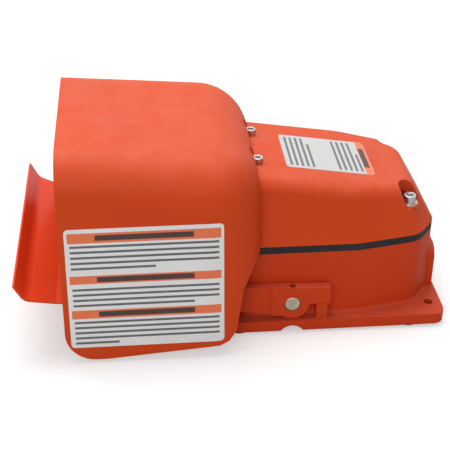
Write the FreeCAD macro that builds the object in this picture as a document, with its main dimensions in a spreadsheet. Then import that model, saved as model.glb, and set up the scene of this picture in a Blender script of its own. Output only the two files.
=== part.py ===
import FreeCAD, Part
import math
import os
import re
import Sketcher

# Industrial foot switch with a cast foot shield. Millimetres.
# The sketches are drawn about the pivot axis: X runs to the rear, Y across, Z up from the floor.
# Every piece is then moved along X, so that the origin is the centre of the whole footprint.

# Driving sizes. Names that end in _reach are distances ahead of (or behind) the pivot axis.
SIZES = {
    # Casting walls and the common gaps
    "wall": 4.5,
    "running_gap": 0.05,
    "slide_gap": 0.03,
    "press_gap": 0.02,
    "hole_gap": 0.1,
    "seat_gap": 0.2,
    "cut_over": 5,
    # Rubber feet and the flange of the base
    "foot_height": 2,
    "foot_sink": 3,
    "foot_radius": 8,
    "foot_edge": 9.5,
    "foot_front_set": 22,
    "foot_rear_set": 28,
    "flange_height": 9,
    "flange_width": 10,
    "flange_front": 62,
    "heel_width": 6,
    "flange_corner": 9,
    "hole_edge": 17,
    "hole_set": 10,
    "hole_radius": 3.6,
    # Walls of the base, shared by the gasket and the cover
    "box_half": 63.5,
    "box_front": 38,
    "box_knee": 50,
    "box_rear": 114,
    "rear_inset": 30.5,
    "shoulder_depth": 16,
    "shoulder_inset": 9.5,
    "box_rear_corner": 20,
    "box_front_corner": 9,
    "box_top": 66,
    "box_floor": 8,
    "wall_fillet": 3,
    "gasket_height": 6,
    "gasket_lap": 3,
    "gasket_hole_radius": 3.8,
    # Conduit entry at the back
    "entry_half": 33,
    "entry_top": 46,
    "entry_depth": 4.5,
    "entry_corner": 10,
    "entry_height": 27,
    "entry_radius": 10.3,
    # Pivot
    "pivot_height": 25,
    "shaft_radius": 6.35,
    "shaft_chamfer": 0.8,
    "bush_wall": 1.9,
    "bush_length": 11,
    "seal_section": 1.3,
    "seal_depth": 3.2,
    "seal_set": 0.3,
    "pivot_boss_radius": 12,
    "set_screw_radius": 2.5,
    "set_screw_length": 6,
    "notch_half": 8.5,
    "notch_height": 4.5,
    "notch_depth": 6,
    # Treadle casting
    "arm_gap": 0.8,
    "arm_width": 7.5,
    "boss_radius": 12.8,
    "boss_front": 16.4,
    "arm_step": 1,
    "tail_reach": 29,
    "tail_bottom": 25,
    "arm_top": 40,
    "arm_rise": 2,
    "nose_set": 12,
    "nose_depth": 7,
    "arm_low_web": 23.5,
    "web_low": 24.5,
    "arm_low_rear": 16.2,
    "block_low": 15.2,
    "block_heel": 8.2,
    "block_slope": 11.5,
    "web_front": 72,
    "web_rear": 64,
    "deck_thick": 4,
    "post_front": 18.5,
    "post_rear": 27,
    # Foot plate, a formed steel sheet
    "sheet": 1.6,
    "plate_set": 11.5,
    "lip_set": 4,
    "plate_rear": 66,
    "toe_run": 22,
    "lip_reach": 205,
    "lip_height": 67,
    "lip_run": 7,
    "toe_height": 53,
    "toe_radius": 9,
    "lip_turn": 0.6,
    "toe_shift": 1.2,
    "toe_rise": 1.84,
    "bend_shift": 0.32,
    "rivet_radius": 2.4,
    "rivet_head_radius": 4.5,
    "rivet_head_height": 1.3,
    "rivet_lap": 18,
    "rivet_set": 14,
    "rivet_edge": 12.3,
    # Hood
    "mouth_set": 5.5,
    "hood_low": 3,
    "hood_side_room": 26.7,
    "hood_top": 158.5,
    "hood_draft": 13.5,
    "hood_corner": 31,
    "hood_toe": 22,
    "hood_slope": 4.2,
    "hood_shoulder": 62,
    "hood_back": 25,
    "hood_back_drop": 26,
    "hood_back_inset": 28,
    "hood_void_back": 40,
    "skirt_front": 140,
    "skirt_heel": 57,
    "skirt_heel_height": 9.5,
    "skirt_turn": 50,
    "skirt_turn_height": 12.5,
    "skirt_low": 44.5,
    "skirt_low_height": 20,
    "skirt_knee": 39.5,
    "skirt_knee_height": 52,
    "skirt_high": 28,
    "room_front": 62,
    "room_set": 13.5,
    "room_bend": 46,
    "room_waist": 36,
    "waist_set": 20.5,
    "room_rear": 30,
    "room_gap": 1.2,
    "void_rear": 20,
    "void_lean": 4,
    # Cover over the switch box
    "cover_top": 119.5,
    "cover_tilt": 8.6,
    "cover_lean_side": 12,
    "cover_lean_rear": 18,
    "cover_edge": 12,
    "knee_round": 60,
    # Cover screws
    "rear_screw_set": 22.5,
    "rear_screw_inset": 16,
    "rear_screw_seat": 90.5,
    "rear_pocket_radius": 9.5,
    "front_screw_reach": 23.5,
    "front_screw_side": 24,
    "front_screw_seat": 122.5,
    "front_pocket_radius": 6.5,
    "column_radius": 7.5,
    "column_web": 4,
    "rear_tap_radius": 3.3,
    "rear_hole_radius": 3.5,
    "rear_shank_radius": 3.175,
    "rear_shank_depth": 14,
    "rear_head_radius": 4.75,
    "rear_head_height": 6.35,
    "rear_socket_radius": 2.4,
    "rear_washer_radius": 6.4,
    "rear_washer_thick": 1.2,
    "front_tap_radius": 2.6,
    "front_hole_radius": 2.7,
    "front_shank_radius": 2.4,
    "front_shank_depth": 12,
    "front_head_radius": 3.95,
    "front_head_height": 4.8,
    "front_socket_radius": 2,
    # Switch and its bracket
    "lever_centre": -4,
    "lever_half": 8,
    "hub_radius": 11.5,
    "lever_top": 33,
    "lever_thick": 6,
    "lever_reach": 38,
    "hub_inside": 4,
    "spring_reach": 19,
    "spring_arm_low": 38,
    "spring_arm_thick": 5,
    "spring_coil": 6,
    "spring_wire": 0.9,
    "spring_turns": 6,
    "spring_pad": 7,
    "spring_slack": 0.8,
    "spring_seat_depth": 3,
    "plunger_reach": 28,
    "plunger_radius": 3,
    "plunger_travel": 4.4,
    "plunger_hold": 8,
    "plunger_gap": 0.08,
    "plunger_spare": 0.3,
    "case_low": 41,
    "case_high": 65.2,
    "case_front": 11,
    "case_length": 49.2,
    "case_width": 17.5,
    "case_hole_pitch": 25.4,
    "case_hole_reach": 23.3,
    "case_hole_height": 16.5,
    "case_hole_radius": 2.1,
    "switch_head_radius": 3.6,
    "switch_head_height": 2.4,
    "switch_nut_radius": 3.8,
    "switch_nut_height": 3,
    "terminal_first": 7.6,
    "terminal_pitch": 17,
    "terminal_half": 4,
    "terminal_half_width": 4.5,
    "terminal_thick": 1,
    "terminal_head_radius": 3.2,
    "terminal_head_height": 2.6,
    "web_thick": 2,
    "bracket_foot": 22,
    "bracket_front": 14,
    "bracket_back": 64,
    "bracket_hole_radius": 2.3,
    "bracket_screw_inset": 10,
    "bracket_screw_edge": 8,
    "pan_shank_radius": 2.1,
    "pan_head_radius": 4.2,
    "pan_head_height": 3,
    # Ground screw on the floor of the base
    "ground_reach": 80,
    "ground_side": 25,
    "ground_head_radius": 5,
    "ground_head_height": 3.4,
    "lug_radius": 6,
    "lug_thick": 1,
}

# Places and widths that follow from the driving sizes, as formulas of the same sheet.
LAYOUT = {
    "flange_half": "box_half + flange_width",
    "flange_rear": "box_rear + heel_width",
    "entry_reach": "box_rear + entry_depth",
    "box_shoulder": "box_rear - shoulder_depth",
    "box_shoulder_half": "box_half - shoulder_inset",
    "box_rear_half": "box_half - rear_inset",
    "rear_screw_reach": "box_rear - rear_screw_set",
    "rear_screw_side": "box_shoulder_half - rear_screw_inset",
    "hole_side": "flange_half - hole_edge",
    "hole_front": "flange_front - hole_set",
    "hole_rear": "flange_rear - hole_set",
    "foot_side": "flange_half - foot_edge",
    "foot_front": "flange_front - foot_front_set",
    "foot_rear": "flange_rear - foot_rear_set",
    "origin_shift": "(lip_reach - flange_rear) / 2",
    "flange_top": "foot_height + flange_height",
    "gasket_top": "box_top + gasket_height",
    "arm_inner": "box_half + arm_gap",
    "arm_outer": "box_half + arm_gap + arm_width",
    "bush_radius": "shaft_radius + running_gap + bush_wall",
    "lever_low_side": "lever_centre - lever_half",
    "toe_reach": "lip_reach - lip_run",
    "bend_reach": "toe_reach - toe_run",
    "nose_reach": "bend_reach - nose_set",
    "nose_top": "arm_top + nose_reach * tan(arm_rise)",
    "rivet_front": "nose_reach - rivet_set",
    "rivet_rear": "web_front + rivet_lap",
    "rivet_side": "arm_inner - rivet_edge",
    "hood_reach": "bend_reach - mouth_set",
    "hood_half": "arm_outer + hood_side_room",
    "plate_half": "hood_half - plate_set",
    "lip_half": "hood_half - lip_set",
    "room_front_half": "hood_half - room_set",
    "room_waist_half": "hood_half - waist_set",
    "room_rear_half": "arm_outer + room_gap",
}

doc = FreeCAD.newDocument("foot_switch")
sheet = doc.addObject("Spreadsheet::Sheet", "Sizes")
formulas = {alias: "=" + formula for alias, formula in LAYOUT.items()}
for row, (alias, amount) in enumerate({**SIZES, **formulas}.items(), start=1):
    sheet.set(f"A{row}", alias)
    sheet.set(f"B{row}", str(amount))
    sheet.setAlias(f"B{row}", alias)
doc.recompute()


def spelled(expression):
    """Write an expression over the size names as one that the document can follow."""
    return re.sub(r"[a-z][a-z_]+", lambda m: f"Sizes.{m[0]}" if m[0] in SIZES or m[0] in LAYOUT else m[0],
                  expression)


def size(alias):
    """The number in one cell of the sheet."""
    return float(sheet.get(alias))


def bind(thing, prop, expression):
    """Tie a property of an object to the sheet."""
    thing.setExpression(prop, spelled(expression))


def new_body(label):
    """A body with the label of its piece, moved so that the footprint's centre is the origin."""
    body = doc.addObject("PartDesign::Body", "Body_" + label)
    body.Label = label
    bind(body, "Placement.Base.x", "origin_shift")
    return body


def new_sketch(body, plane, name, out="0", turn=None):
    """A sketch on one of the body's own planes, moved out along its normal."""
    sketch = body.newObject("Sketcher::SketchObject", f"{body.Label}_{name}")
    support = [item for item in body.Origin.OriginFeatures if item.Role == plane + "_Plane"][0]
    sketch.AttachmentSupport = [(support, "")]
    sketch.MapMode = "FlatFace"
    if turn:
        sketch.AttachmentOffset = FreeCAD.Placement(
            FreeCAD.Vector(0, 0, 0), FreeCAD.Rotation(FreeCAD.Vector(0, 1, 0), 1))
        bind(sketch, "AttachmentOffset.Rotation.Angle", turn)
    bind(sketch, "AttachmentOffset.Base.z", out)
    return sketch


def pin_point(sketch, geometry, vertex, across, up):
    """Hold one vertex of a sketch at two distances from the sketch's origin."""
    start = sketch.getPoint(geometry, vertex)
    for kind, expression, datum in (("DistanceX", across, start.x), ("DistanceY", up, start.y)):
        index = sketch.addConstraint(Sketcher.Constraint(kind, -1, 1, geometry, vertex, datum))
        name = f"{kind}_{geometry}_{vertex}"
        sketch.renameConstraint(index, name)
        bind(sketch, "Constraints." + name, expression)


def polygon(sketch, corners):
    """A closed outline of straight lines, each corner held by its two distances."""
    first = sketch.GeometryCount
    count = len(corners)
    start = [FreeCAD.Vector(10 * math.cos(2 * math.pi * i / count), 10 * math.sin(2 * math.pi * i / count), 0)
             for i in range(count)]
    for i in range(count):
        sketch.addGeometry(Part.LineSegment(start[i], start[(i + 1) % count]), False)
    for i in range(count):
        following = first + (i + 1) % count
        sketch.addConstraint(Sketcher.Constraint("Coincident", first + i, 2, following, 1))
    for i, (across, up) in enumerate(corners):
        pin_point(sketch, first + i, 1, across, up)


def circle(sketch, across, up, radius):
    """A circle held at its centre and by its radius."""
    index = sketch.addGeometry(Part.Circle(FreeCAD.Vector(0, 0, 0), FreeCAD.Vector(0, 0, 1), 5), False)
    pin_point(sketch, index, 3, across, up)
    constraint = sketch.addConstraint(Sketcher.Constraint("Radius", index, 5.0))
    sketch.renameConstraint(constraint, f"Radius_{index}")
    bind(sketch, f"Constraints.Radius_{index}", radius)


def box_outline(inset="0", lean_side="0", lean_rear="0"):
    """Plan of the switch box, which narrows towards its back in three steps."""
    corners = [
        (f"-box_front + ({inset})", f"box_half - ({inset}) - ({lean_side})"),
        ("box_knee", f"box_half - ({inset}) - ({lean_side})"),
        (f"box_shoulder - ({inset}) * 0.6 - ({lean_rear}) * 0.7",
         f"box_shoulder_half - ({inset}) - ({lean_side})"),
        (f"box_rear - ({inset}) - ({lean_rear})", f"box_rear_half - ({inset}) * 0.4 - ({lean_side}) * 0.6"),
    ]
    return [(x, f"-({y})") for x, y in corners] + corners[::-1]


def rectangle(low_x, high_x, low_y, high_y):
    """Corners of a rectangle."""
    return [(low_x, low_y), (high_x, low_y), (high_x, high_y), (low_x, high_y)]


def arch(sketch, half, top, inset, low="hood_low"):
    """Cross-section of the hood: a low line, two drafted sides and a flat top with round corners."""
    start_half = 80.0
    start_top = 150.0
    start_low = 3.0
    start_radius = 28.0
    flat = start_half - start_radius
    level = start_top - start_radius
    up = FreeCAD.Vector(0, 0, 1)
    point = FreeCAD.Vector
    low_left = point(-start_half, start_low, 0)
    low_right = point(start_half, start_low, 0)
    sketch.addGeometry(Part.LineSegment(low_left, low_right), False)
    sketch.addGeometry(Part.LineSegment(low_right, point(start_half, level, 0)), False)
    right = Part.Circle(point(flat, level, 0), up, start_radius)
    sketch.addGeometry(Part.ArcOfCircle(right, 0, math.pi / 2), False)
    sketch.addGeometry(Part.LineSegment(point(flat, start_top, 0), point(-flat, start_top, 0)), False)
    left = Part.Circle(point(-flat, level, 0), up, start_radius)
    sketch.addGeometry(Part.ArcOfCircle(left, math.pi / 2, math.pi), False)
    sketch.addGeometry(Part.LineSegment(point(-start_half, level, 0), low_left), False)
    right_corner = sketch.addGeometry(Part.Point(point(start_half - 5, start_top, 0)), True)
    left_corner = sketch.addGeometry(Part.Point(point(-start_half + 5, start_top, 0)), True)
    sketch.addConstraint(Sketcher.Constraint("Coincident", 0, 2, 1, 1))
    sketch.addConstraint(Sketcher.Constraint("Coincident", 5, 2, 0, 1))
    sketch.addConstraint(Sketcher.Constraint("Tangent", 1, 2, 2, 1))
    sketch.addConstraint(Sketcher.Constraint("Tangent", 2, 2, 3, 1))
    sketch.addConstraint(Sketcher.Constraint("Tangent", 3, 2, 4, 1))
    sketch.addConstraint(Sketcher.Constraint("Tangent", 4, 2, 5, 1))
    sketch.addConstraint(Sketcher.Constraint("PointOnObject", right_corner, 1, 1))
    sketch.addConstraint(Sketcher.Constraint("PointOnObject", left_corner, 1, 5))
    sketch.addConstraint(Sketcher.Constraint("PointOnObject", right_corner, 1, 3))
    sketch.addConstraint(Sketcher.Constraint("PointOnObject", left_corner, 1, 3))
    pin_point(sketch, 0, 1, f"-({half} - {inset})", low)
    pin_point(sketch, 0, 2, f"{half} - {inset}", low)
    pin_point(sketch, right_corner, 1, f"{half} - {inset} - hood_draft", f"{top} - {inset}")
    pin_point(sketch, left_corner, 1, f"-({half} - {inset} - hood_draft)", f"{top} - {inset}")
    for arc in (2, 4):
        index = sketch.addConstraint(Sketcher.Constraint("Radius", arc, start_radius))
        sketch.renameConstraint(index, f"Radius_{arc}")
        bind(sketch, f"Constraints.Radius_{arc}", f"hood_corner - {inset}")


def arches(body, name, sections, inset, low="hood_low"):
    """Cross-sections of the hood at several distances ahead of the pivot."""
    sketches = []
    for index, (reach, half, top) in enumerate(sections):
        sketch = new_sketch(body, "YZ", f"{name}_{index}", f"-({reach})")
        arch(sketch, half, top, inset, low)
        sketches.append(sketch)
    return sketches


def pad(body, sketch, length, reverse=False, both=False):
    """Raise a sketch into material."""
    feature = body.newObject("PartDesign::Pad", sketch.Name + "_pad")
    feature.Profile = sketch
    feature.SideType = "Symmetric" if both else "One side"
    feature.Reversed = reverse
    bind(feature, "Length", length)
    return feature


def pocket(body, sketch, length=None, reverse=False, both=False):
    """Cut a sketch out of the material, through all of it where no depth is given."""
    feature = body.newObject("PartDesign::Pocket", sketch.Name + "_cut")
    feature.Profile = sketch
    feature.SideType = "Symmetric" if both else "One side"
    feature.Reversed = reverse
    if length is None:
        feature.Type = "ThroughAll"
    else:
        bind(feature, "Length", length)
    return feature


def loft(body, kind, sketches, ruled=False):
    """Join sections into a solid, added or taken away."""
    feature = body.newObject(f"PartDesign::{kind}Loft", sketches[0].Name + "_loft")
    feature.Profile = sketches[0]
    feature.Sections = sketches[1:]
    feature.Ruled = ruled
    return feature


def edge_names(feature, wanted):
    """Names of the edges of a feature that a test picks out."""
    doc.recompute()
    return [f"Edge{i}" for i, edge in enumerate(feature.Shape.Edges, start=1) if wanted(edge)]


def fillet(body, feature, wanted, radius):
    """Round the edges that a test picks out."""
    names = edge_names(feature, wanted)
    rounded = body.newObject("PartDesign::Fillet", f"{feature.Name}_round")
    rounded.Base = (feature, names)
    bind(rounded, "Radius", radius)
    return rounded


def chamfer(body, feature, wanted, amount):
    """Break the edges that a test picks out."""
    names = edge_names(feature, wanted)
    broken = body.newObject("PartDesign::Chamfer", f"{feature.Name}_break")
    broken.Base = (feature, names)
    bind(broken, "Size", amount)
    return broken


def upright(edge):
    """True for an edge that climbs more than it runs."""
    ends = [vertex.Point for vertex in edge.Vertexes]
    if len(ends) < 2:
        return False
    run = ends[1] - ends[0]
    return abs(run.z) > math.hypot(run.x, run.y)


def middle(edge):
    """The point halfway along an edge."""
    return edge.valueAt((edge.FirstParameter + edge.LastParameter) / 2)


def both_sides(places):
    """Each place, and its mirror image across the middle plane."""
    return [(x, side) for x, y in places for side in (f"-({y})", y)]


COVER_SCREWS = both_sides([("-front_screw_reach", "front_screw_side")])
REAR_SCREWS = both_sides([("rear_screw_reach", "rear_screw_side")])
MOUNT_HOLES = both_sides([("-hole_front", "hole_side"), ("hole_rear", "hole_side")])
RIVETS = both_sides([("-rivet_rear", "rivet_side"), ("-rivet_front", "rivet_side")])
GROUND = [("ground_reach", "-ground_side")]
CASE_HOLES = ["case_hole_reach", "case_hole_reach + case_hole_pitch"]
BRACKET_SCREW_SIDE = "lever_centre + case_width / 2 + bracket_foot - bracket_screw_edge"
BRACKET_SCREWS = [("bracket_front + bracket_screw_inset", BRACKET_SCREW_SIDE),
                  ("bracket_back - bracket_screw_inset", BRACKET_SCREW_SIDE)]
FEET = both_sides([("-foot_front", "foot_side"), ("foot_rear", "foot_side")])


def base_housing():
    """Cast base: a flange, the walls of the switch box, bosses, posts and the conduit entry."""
    body = new_body("base_housing")
    plan = new_sketch(body, "XY", "flange", "foot_height")
    polygon(plan, rectangle("-flange_front", "flange_rear", "-flange_half", "flange_half"))
    flange = pad(body, plan, "flange_height")
    flange = fillet(body, flange, upright, "flange_corner")
    walls = new_sketch(body, "XY", "walls", "foot_height")
    polygon(walls, box_outline())
    block = pad(body, walls, "box_top - foot_height")
    front = -size("box_front")
    rear = size("box_rear")
    tall = size("box_top") - size("foot_height") - size("flange_height")
    behind = size("box_shoulder") - 1
    block = fillet(body, block, lambda e: upright(e) and e.Length > tall - 1 and middle(e).x > behind,
                   "box_rear_corner")
    block = fillet(body, block, lambda e: upright(e) and e.Length > tall - 1 and middle(e).x < front + 1,
                   "box_front_corner")
    level = size("foot_height") + size("flange_height")
    block = fillet(body, block,
                   lambda e: abs(middle(e).z - level) < 0.01 and abs(e.BoundBox.ZLength) < 0.01
                   and abs(middle(e).y) < size("box_half") + 0.5 and front - 1 < middle(e).x < rear + 1,
                   "wall_fillet")
    entry = new_sketch(body, "YZ", "entry", "box_rear - wall")
    polygon(entry, rectangle("-entry_half", "entry_half", "foot_height", "entry_top"))
    hub = pad(body, entry, "entry_reach - box_rear + wall")
    high = size("entry_top")
    half = size("entry_half")
    hub = fillet(body, hub, lambda e: abs(middle(e).z - high) < 0.01 and abs(abs(middle(e).y) - half) < 0.01
                 and middle(e).x > rear - 4, "entry_corner")
    cavity = new_sketch(body, "XY", "cavity", "box_top")
    polygon(cavity, box_outline("wall"))
    pocket(body, cavity, "box_top - box_floor")
    columns = new_sketch(body, "XY", "columns", "box_floor")
    for x, y in COVER_SCREWS + REAR_SCREWS:
        circle(columns, x, y, "column_radius")
    pad(body, columns, "box_top - box_floor")
    taps = new_sketch(body, "XY", "taps", "box_top")
    for x, y in COVER_SCREWS:
        circle(taps, x, y, "front_tap_radius")
    for x, y in REAR_SCREWS:
        circle(taps, x, y, "rear_tap_radius")
    pocket(body, taps, "box_top - box_floor - column_web")
    for side, sign in (("near", 1), ("far", -1)):
        boss = new_sketch(body, "XZ", f"boss_{side}", f"{sign} * (box_half - wall)")
        circle(boss, "0", "pivot_height", "pivot_boss_radius")
        pad(body, boss, "bush_length - wall + seal_depth", reverse=sign > 0)
    bore = new_sketch(body, "XZ", "bore")
    circle(bore, "0", "pivot_height", "bush_radius")
    pocket(body, bore, "2 * flange_half", both=True)
    for side, sign in (("near", 1), ("far", -1)):
        groove = new_sketch(body, "XZ", f"groove_{side}", f"{sign} * (box_half - seal_depth)")
        circle(groove, "0", "pivot_height", "shaft_radius + running_gap + 2 * seal_section + hole_gap")
        pocket(body, groove, "seal_depth + cut_over", reverse=sign > 0)
        post = new_sketch(body, "XZ", f"post_{side}", f"{sign} * (box_half - 2)")
        polygon(post, rectangle("post_front", "post_rear", "flange_top - 1", "tail_bottom - seat_gap"))
        pad(body, post, "arm_gap + arm_width + 2", reverse=sign < 0)
    rise = "(notch_half * notch_half + notch_height * notch_height) / (2 * notch_height)"
    for side, sign in (("near", 1), ("far", -1)):
        notch = new_sketch(body, "XZ", f"notch_{side}", f"{sign} * (flange_half - notch_depth)")
        circle(notch, "0", f"foot_height + notch_height - {rise}", rise)
        pocket(body, notch, "notch_depth + 1", reverse=sign > 0)
    passage = new_sketch(body, "YZ", "passage", "entry_reach + 1")
    circle(passage, "0", "entry_height", "entry_radius")
    pocket(body, passage, "entry_reach - box_rear + wall + cut_over")
    holes = new_sketch(body, "XY", "holes", "flange_top")
    for x, y in MOUNT_HOLES:
        circle(holes, x, y, "hole_radius")
    pocket(body, holes)
    sockets = new_sketch(body, "XY", "sockets", "foot_height")
    for x, y in FEET:
        circle(sockets, x, y, "foot_radius")
    pocket(body, sockets, "foot_sink", reverse=True)
    return body


def cover_gasket():
    """Thick rubber gasket between the base and the cover, with an eye round each cover screw."""
    body = new_body("cover_gasket")
    ring = new_sketch(body, "XY", "ring", "box_top")
    polygon(ring, box_outline())
    solid = pad(body, ring, "gasket_height")
    behind = size("box_shoulder") - 1
    ahead = 1 - size("box_front")
    solid = fillet(body, solid, lambda e: upright(e) and middle(e).x > behind, "box_rear_corner")
    solid = fillet(body, solid, lambda e: upright(e) and middle(e).x < ahead, "box_front_corner")
    inside = new_sketch(body, "XY", "inside", "gasket_top")
    polygon(inside, box_outline("wall + gasket_lap"))
    pocket(body, inside, "gasket_height")
    eyes = new_sketch(body, "XY", "eyes", "box_top")
    for x, y in COVER_SCREWS + REAR_SCREWS:
        circle(eyes, x, y, "column_radius")
    pad(body, eyes, "gasket_height")
    holes = new_sketch(body, "XY", "holes", "gasket_top")
    for x, y in COVER_SCREWS + REAR_SCREWS:
        circle(holes, x, y, "gasket_hole_radius")
    pocket(body, holes)
    return body


def hood_top_at(reach):
    """Height of the hood's top at a distance ahead of the pivot."""
    return f"(hood_top - (hood_reach - ({reach})) * tan(hood_slope))"


def shoulder_sections(back):
    """Reach, half width and top of the sections that close the hood in a quarter ellipse."""
    sections = []
    for angle in (0, 25, 50, 72, 90):
        reach = f"(hood_shoulder - (hood_shoulder - {back}) * sin({angle}))"
        half = f"hood_half - hood_back_inset * (1 - cos({angle}))"
        top = f"{hood_top_at(reach)} - hood_back_drop * (1 - cos({angle}))"
        sections.append((reach, half, top))
    return sections


def hood_cover():
    """One casting: the foot shield, open at its mouth and below, and the cover of the switch box."""
    body = new_body("hood_cover")
    mouth = ("hood_reach", "hood_half", "hood_top")
    closing = shoulder_sections("hood_back")
    loft(body, "Additive", arches(body, "front", [mouth, closing[0]], "0"), ruled=True)
    loft(body, "Additive", arches(body, "shoulder", closing, "0"))
    low = new_sketch(body, "XY", "cover_low", "gasket_top")
    polygon(low, box_outline())
    high = new_sketch(body, "XY", "cover_high", "cover_top", turn="cover_tilt")
    polygon(high, box_outline("0", "cover_lean_side", "cover_lean_rear"))
    cover = loft(body, "Additive", [low, high], ruled=True)
    behind = size("box_shoulder") - size("cover_lean_rear") - 1
    cover = fillet(body, cover, lambda e: upright(e) and middle(e).x > behind, "box_rear_corner")
    knee = size("box_knee")
    cover = fillet(body, cover, lambda e: upright(e) and abs(middle(e).x - knee) < 2, "knee_round")
    crown = size("cover_top") - size("box_rear") * math.tan(math.radians(size("cover_tilt"))) - 2
    cover = fillet(body, cover, lambda e: middle(e).z > crown and middle(e).x > 0 - size("hood_back")
                   and not upright(e), "cover_edge")
    beyond = ("hood_reach + 1", "hood_half", hood_top_at("hood_reach + 1"))
    closing = shoulder_sections("hood_void_back")
    below = "hood_low - cut_over"
    loft(body, "Subtractive", arches(body, "void_front", [beyond, closing[0]], "wall", below), ruled=True)
    loft(body, "Subtractive", arches(body, "void_back", closing, "wall", below))
    inner_low = new_sketch(body, "XY", "inside_low", "gasket_top - 0.5")
    polygon(inner_low, box_outline("wall + 0.5"))
    inner_high = new_sketch(body, "XY", "inside_high", "cover_top - wall", turn="cover_tilt")
    polygon(inner_high, box_outline("wall + 0.5", "cover_lean_side + void_lean", "cover_lean_rear + 2"))
    loft(body, "Subtractive", [inner_low, inner_high], ruled=True)
    tail = new_sketch(body, "XZ", "skirt_edge")
    polygon(tail, [("-skirt_front", below), ("-skirt_front", "hood_low"),
                   ("-skirt_heel", "skirt_heel_height"), ("-skirt_turn", "skirt_turn_height"),
                   ("-skirt_low", "skirt_low_height"), ("-skirt_knee", "skirt_knee_height"),
                   ("-skirt_high", "gasket_top"), ("void_rear", "gasket_top"), ("void_rear", below)])
    pocket(body, tail, "4 * hood_half", both=True)
    room = new_sketch(body, "XY", "box_room", "gasket_top")
    side = [("-room_front", "room_front_half"), ("-room_bend", "room_front_half"),
            ("-room_waist", "room_waist_half"), ("-room_rear", "room_rear_half"),
            ("void_rear", "room_rear_half")]
    polygon(room, [(x, f"-{y}") for x, y in side] + side[::-1])
    pocket(body, room)
    mouth = -size("hood_reach")
    fillet(body, body.Tip, lambda e: abs(middle(e).x - mouth) < 0.01
           and abs(middle(e).z - size("hood_low")) < 0.01
           and e.BoundBox.XLength < 0.01 and e.BoundBox.ZLength < 0.01, "hood_toe")
    rear = new_sketch(body, "XY", "rear_pockets", "rear_screw_seat")
    for x, y in REAR_SCREWS:
        circle(rear, x, y, "rear_pocket_radius")
    pocket(body, rear, reverse=True)
    front = new_sketch(body, "XY", "front_pockets", "front_screw_seat")
    for x, y in COVER_SCREWS:
        circle(front, x, y, "front_pocket_radius")
    pocket(body, front, reverse=True)
    for name, places in (("front", COVER_SCREWS), ("rear", REAR_SCREWS)):
        seat = name + "_screw_seat"
        columns = new_sketch(body, "XY", name + "_columns", "gasket_top")
        for x, y in places:
            circle(columns, x, y, "column_radius")
        pad(body, columns, f"{seat} - gasket_top")
        holes = new_sketch(body, "XY", name + "_holes", seat)
        for x, y in places:
            circle(holes, x, y, name + "_hole_radius")
        pocket(body, holes)
    return body


def screws(label, name, places, seat):
    """Socket head cap screws that stand head up."""
    body = new_body(label)
    shank = new_sketch(body, "XY", "shank", seat)
    head = new_sketch(body, "XY", "head", seat)
    hexagon = new_sketch(body, "XY", "hexagon", f"{seat} + {name}_head_height")
    for x, y in places:
        circle(shank, x, y, name + "_shank_radius")
        circle(head, x, y, name + "_head_radius")
        circle(hexagon, x, y, name + "_socket_radius")
    pad(body, head, name + "_head_height")
    pad(body, shank, f"{seat} - box_top + {name}_shank_depth", reverse=True)
    pocket(body, hexagon, f"{name}_head_height / 2")
    return body


def washers(label, places, seat, outer, inner, thick):
    """Flat washers."""
    body = new_body(label)
    ring = new_sketch(body, "XY", "ring", seat)
    for x, y in places:
        circle(ring, x, y, outer)
    pad(body, ring, thick)
    hole = new_sketch(body, "XY", "hole", f"{seat} + {thick}")
    for x, y in places:
        circle(hole, x, y, inner)
    pocket(body, hole)
    return body


def rubber_feet():
    """Four round feet pressed into sockets under the flange."""
    body = new_body("rubber_feet")
    plan = new_sketch(body, "XY", "plan")
    for x, y in FEET:
        circle(plan, x, y, "foot_radius - press_gap")
    pad(body, plan, "foot_height + foot_sink")
    return body


def across_cylinder(label, spans, radius, hole=None):
    """Round pieces on the pivot axis, each from one Y to another."""
    body = new_body(label)
    for index, (low, high) in enumerate(spans):
        end = new_sketch(body, "XZ", f"end_{index}", f"-({low})")
        circle(end, "0", "pivot_height", radius)
        pad(body, end, f"({high}) - ({low})", reverse=True)
    if hole:
        bore = new_sketch(body, "XZ", "bore")
        circle(bore, "0", "pivot_height", hole)
        pocket(body, bore, "4 * flange_half", both=True)
    return body


def pivot_bushes():
    """Two plain bronze bushes in the side walls of the base."""
    outer = "box_half - seal_depth"
    inner = f"{outer} - bush_length"
    return across_cylinder("pivot_bushes", [(f"-({outer})", f"-({inner})"), (inner, outer)],
                           "bush_radius - press_gap", "shaft_radius + running_gap")


def shaft_seals():
    """Two rubber rings that keep dirt and oil out along the shaft."""
    outer = "box_half - seal_set"
    inner = f"{outer} - 2 * seal_section"
    return across_cylinder("shaft_seals", [(f"-({outer})", f"-({inner})"), (inner, outer)],
                           "shaft_radius + running_gap + 2 * seal_section", "shaft_radius + running_gap")


def pivot_shaft():
    """Steel shaft that turns with the treadle."""
    body = across_cylinder("pivot_shaft", [("-arm_outer + 0.5", "arm_outer - 0.5")], "shaft_radius")
    tip = body.Tip
    chamfer(body, tip, lambda e: len(e.Vertexes) == 1, "shaft_chamfer")
    return body


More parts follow.
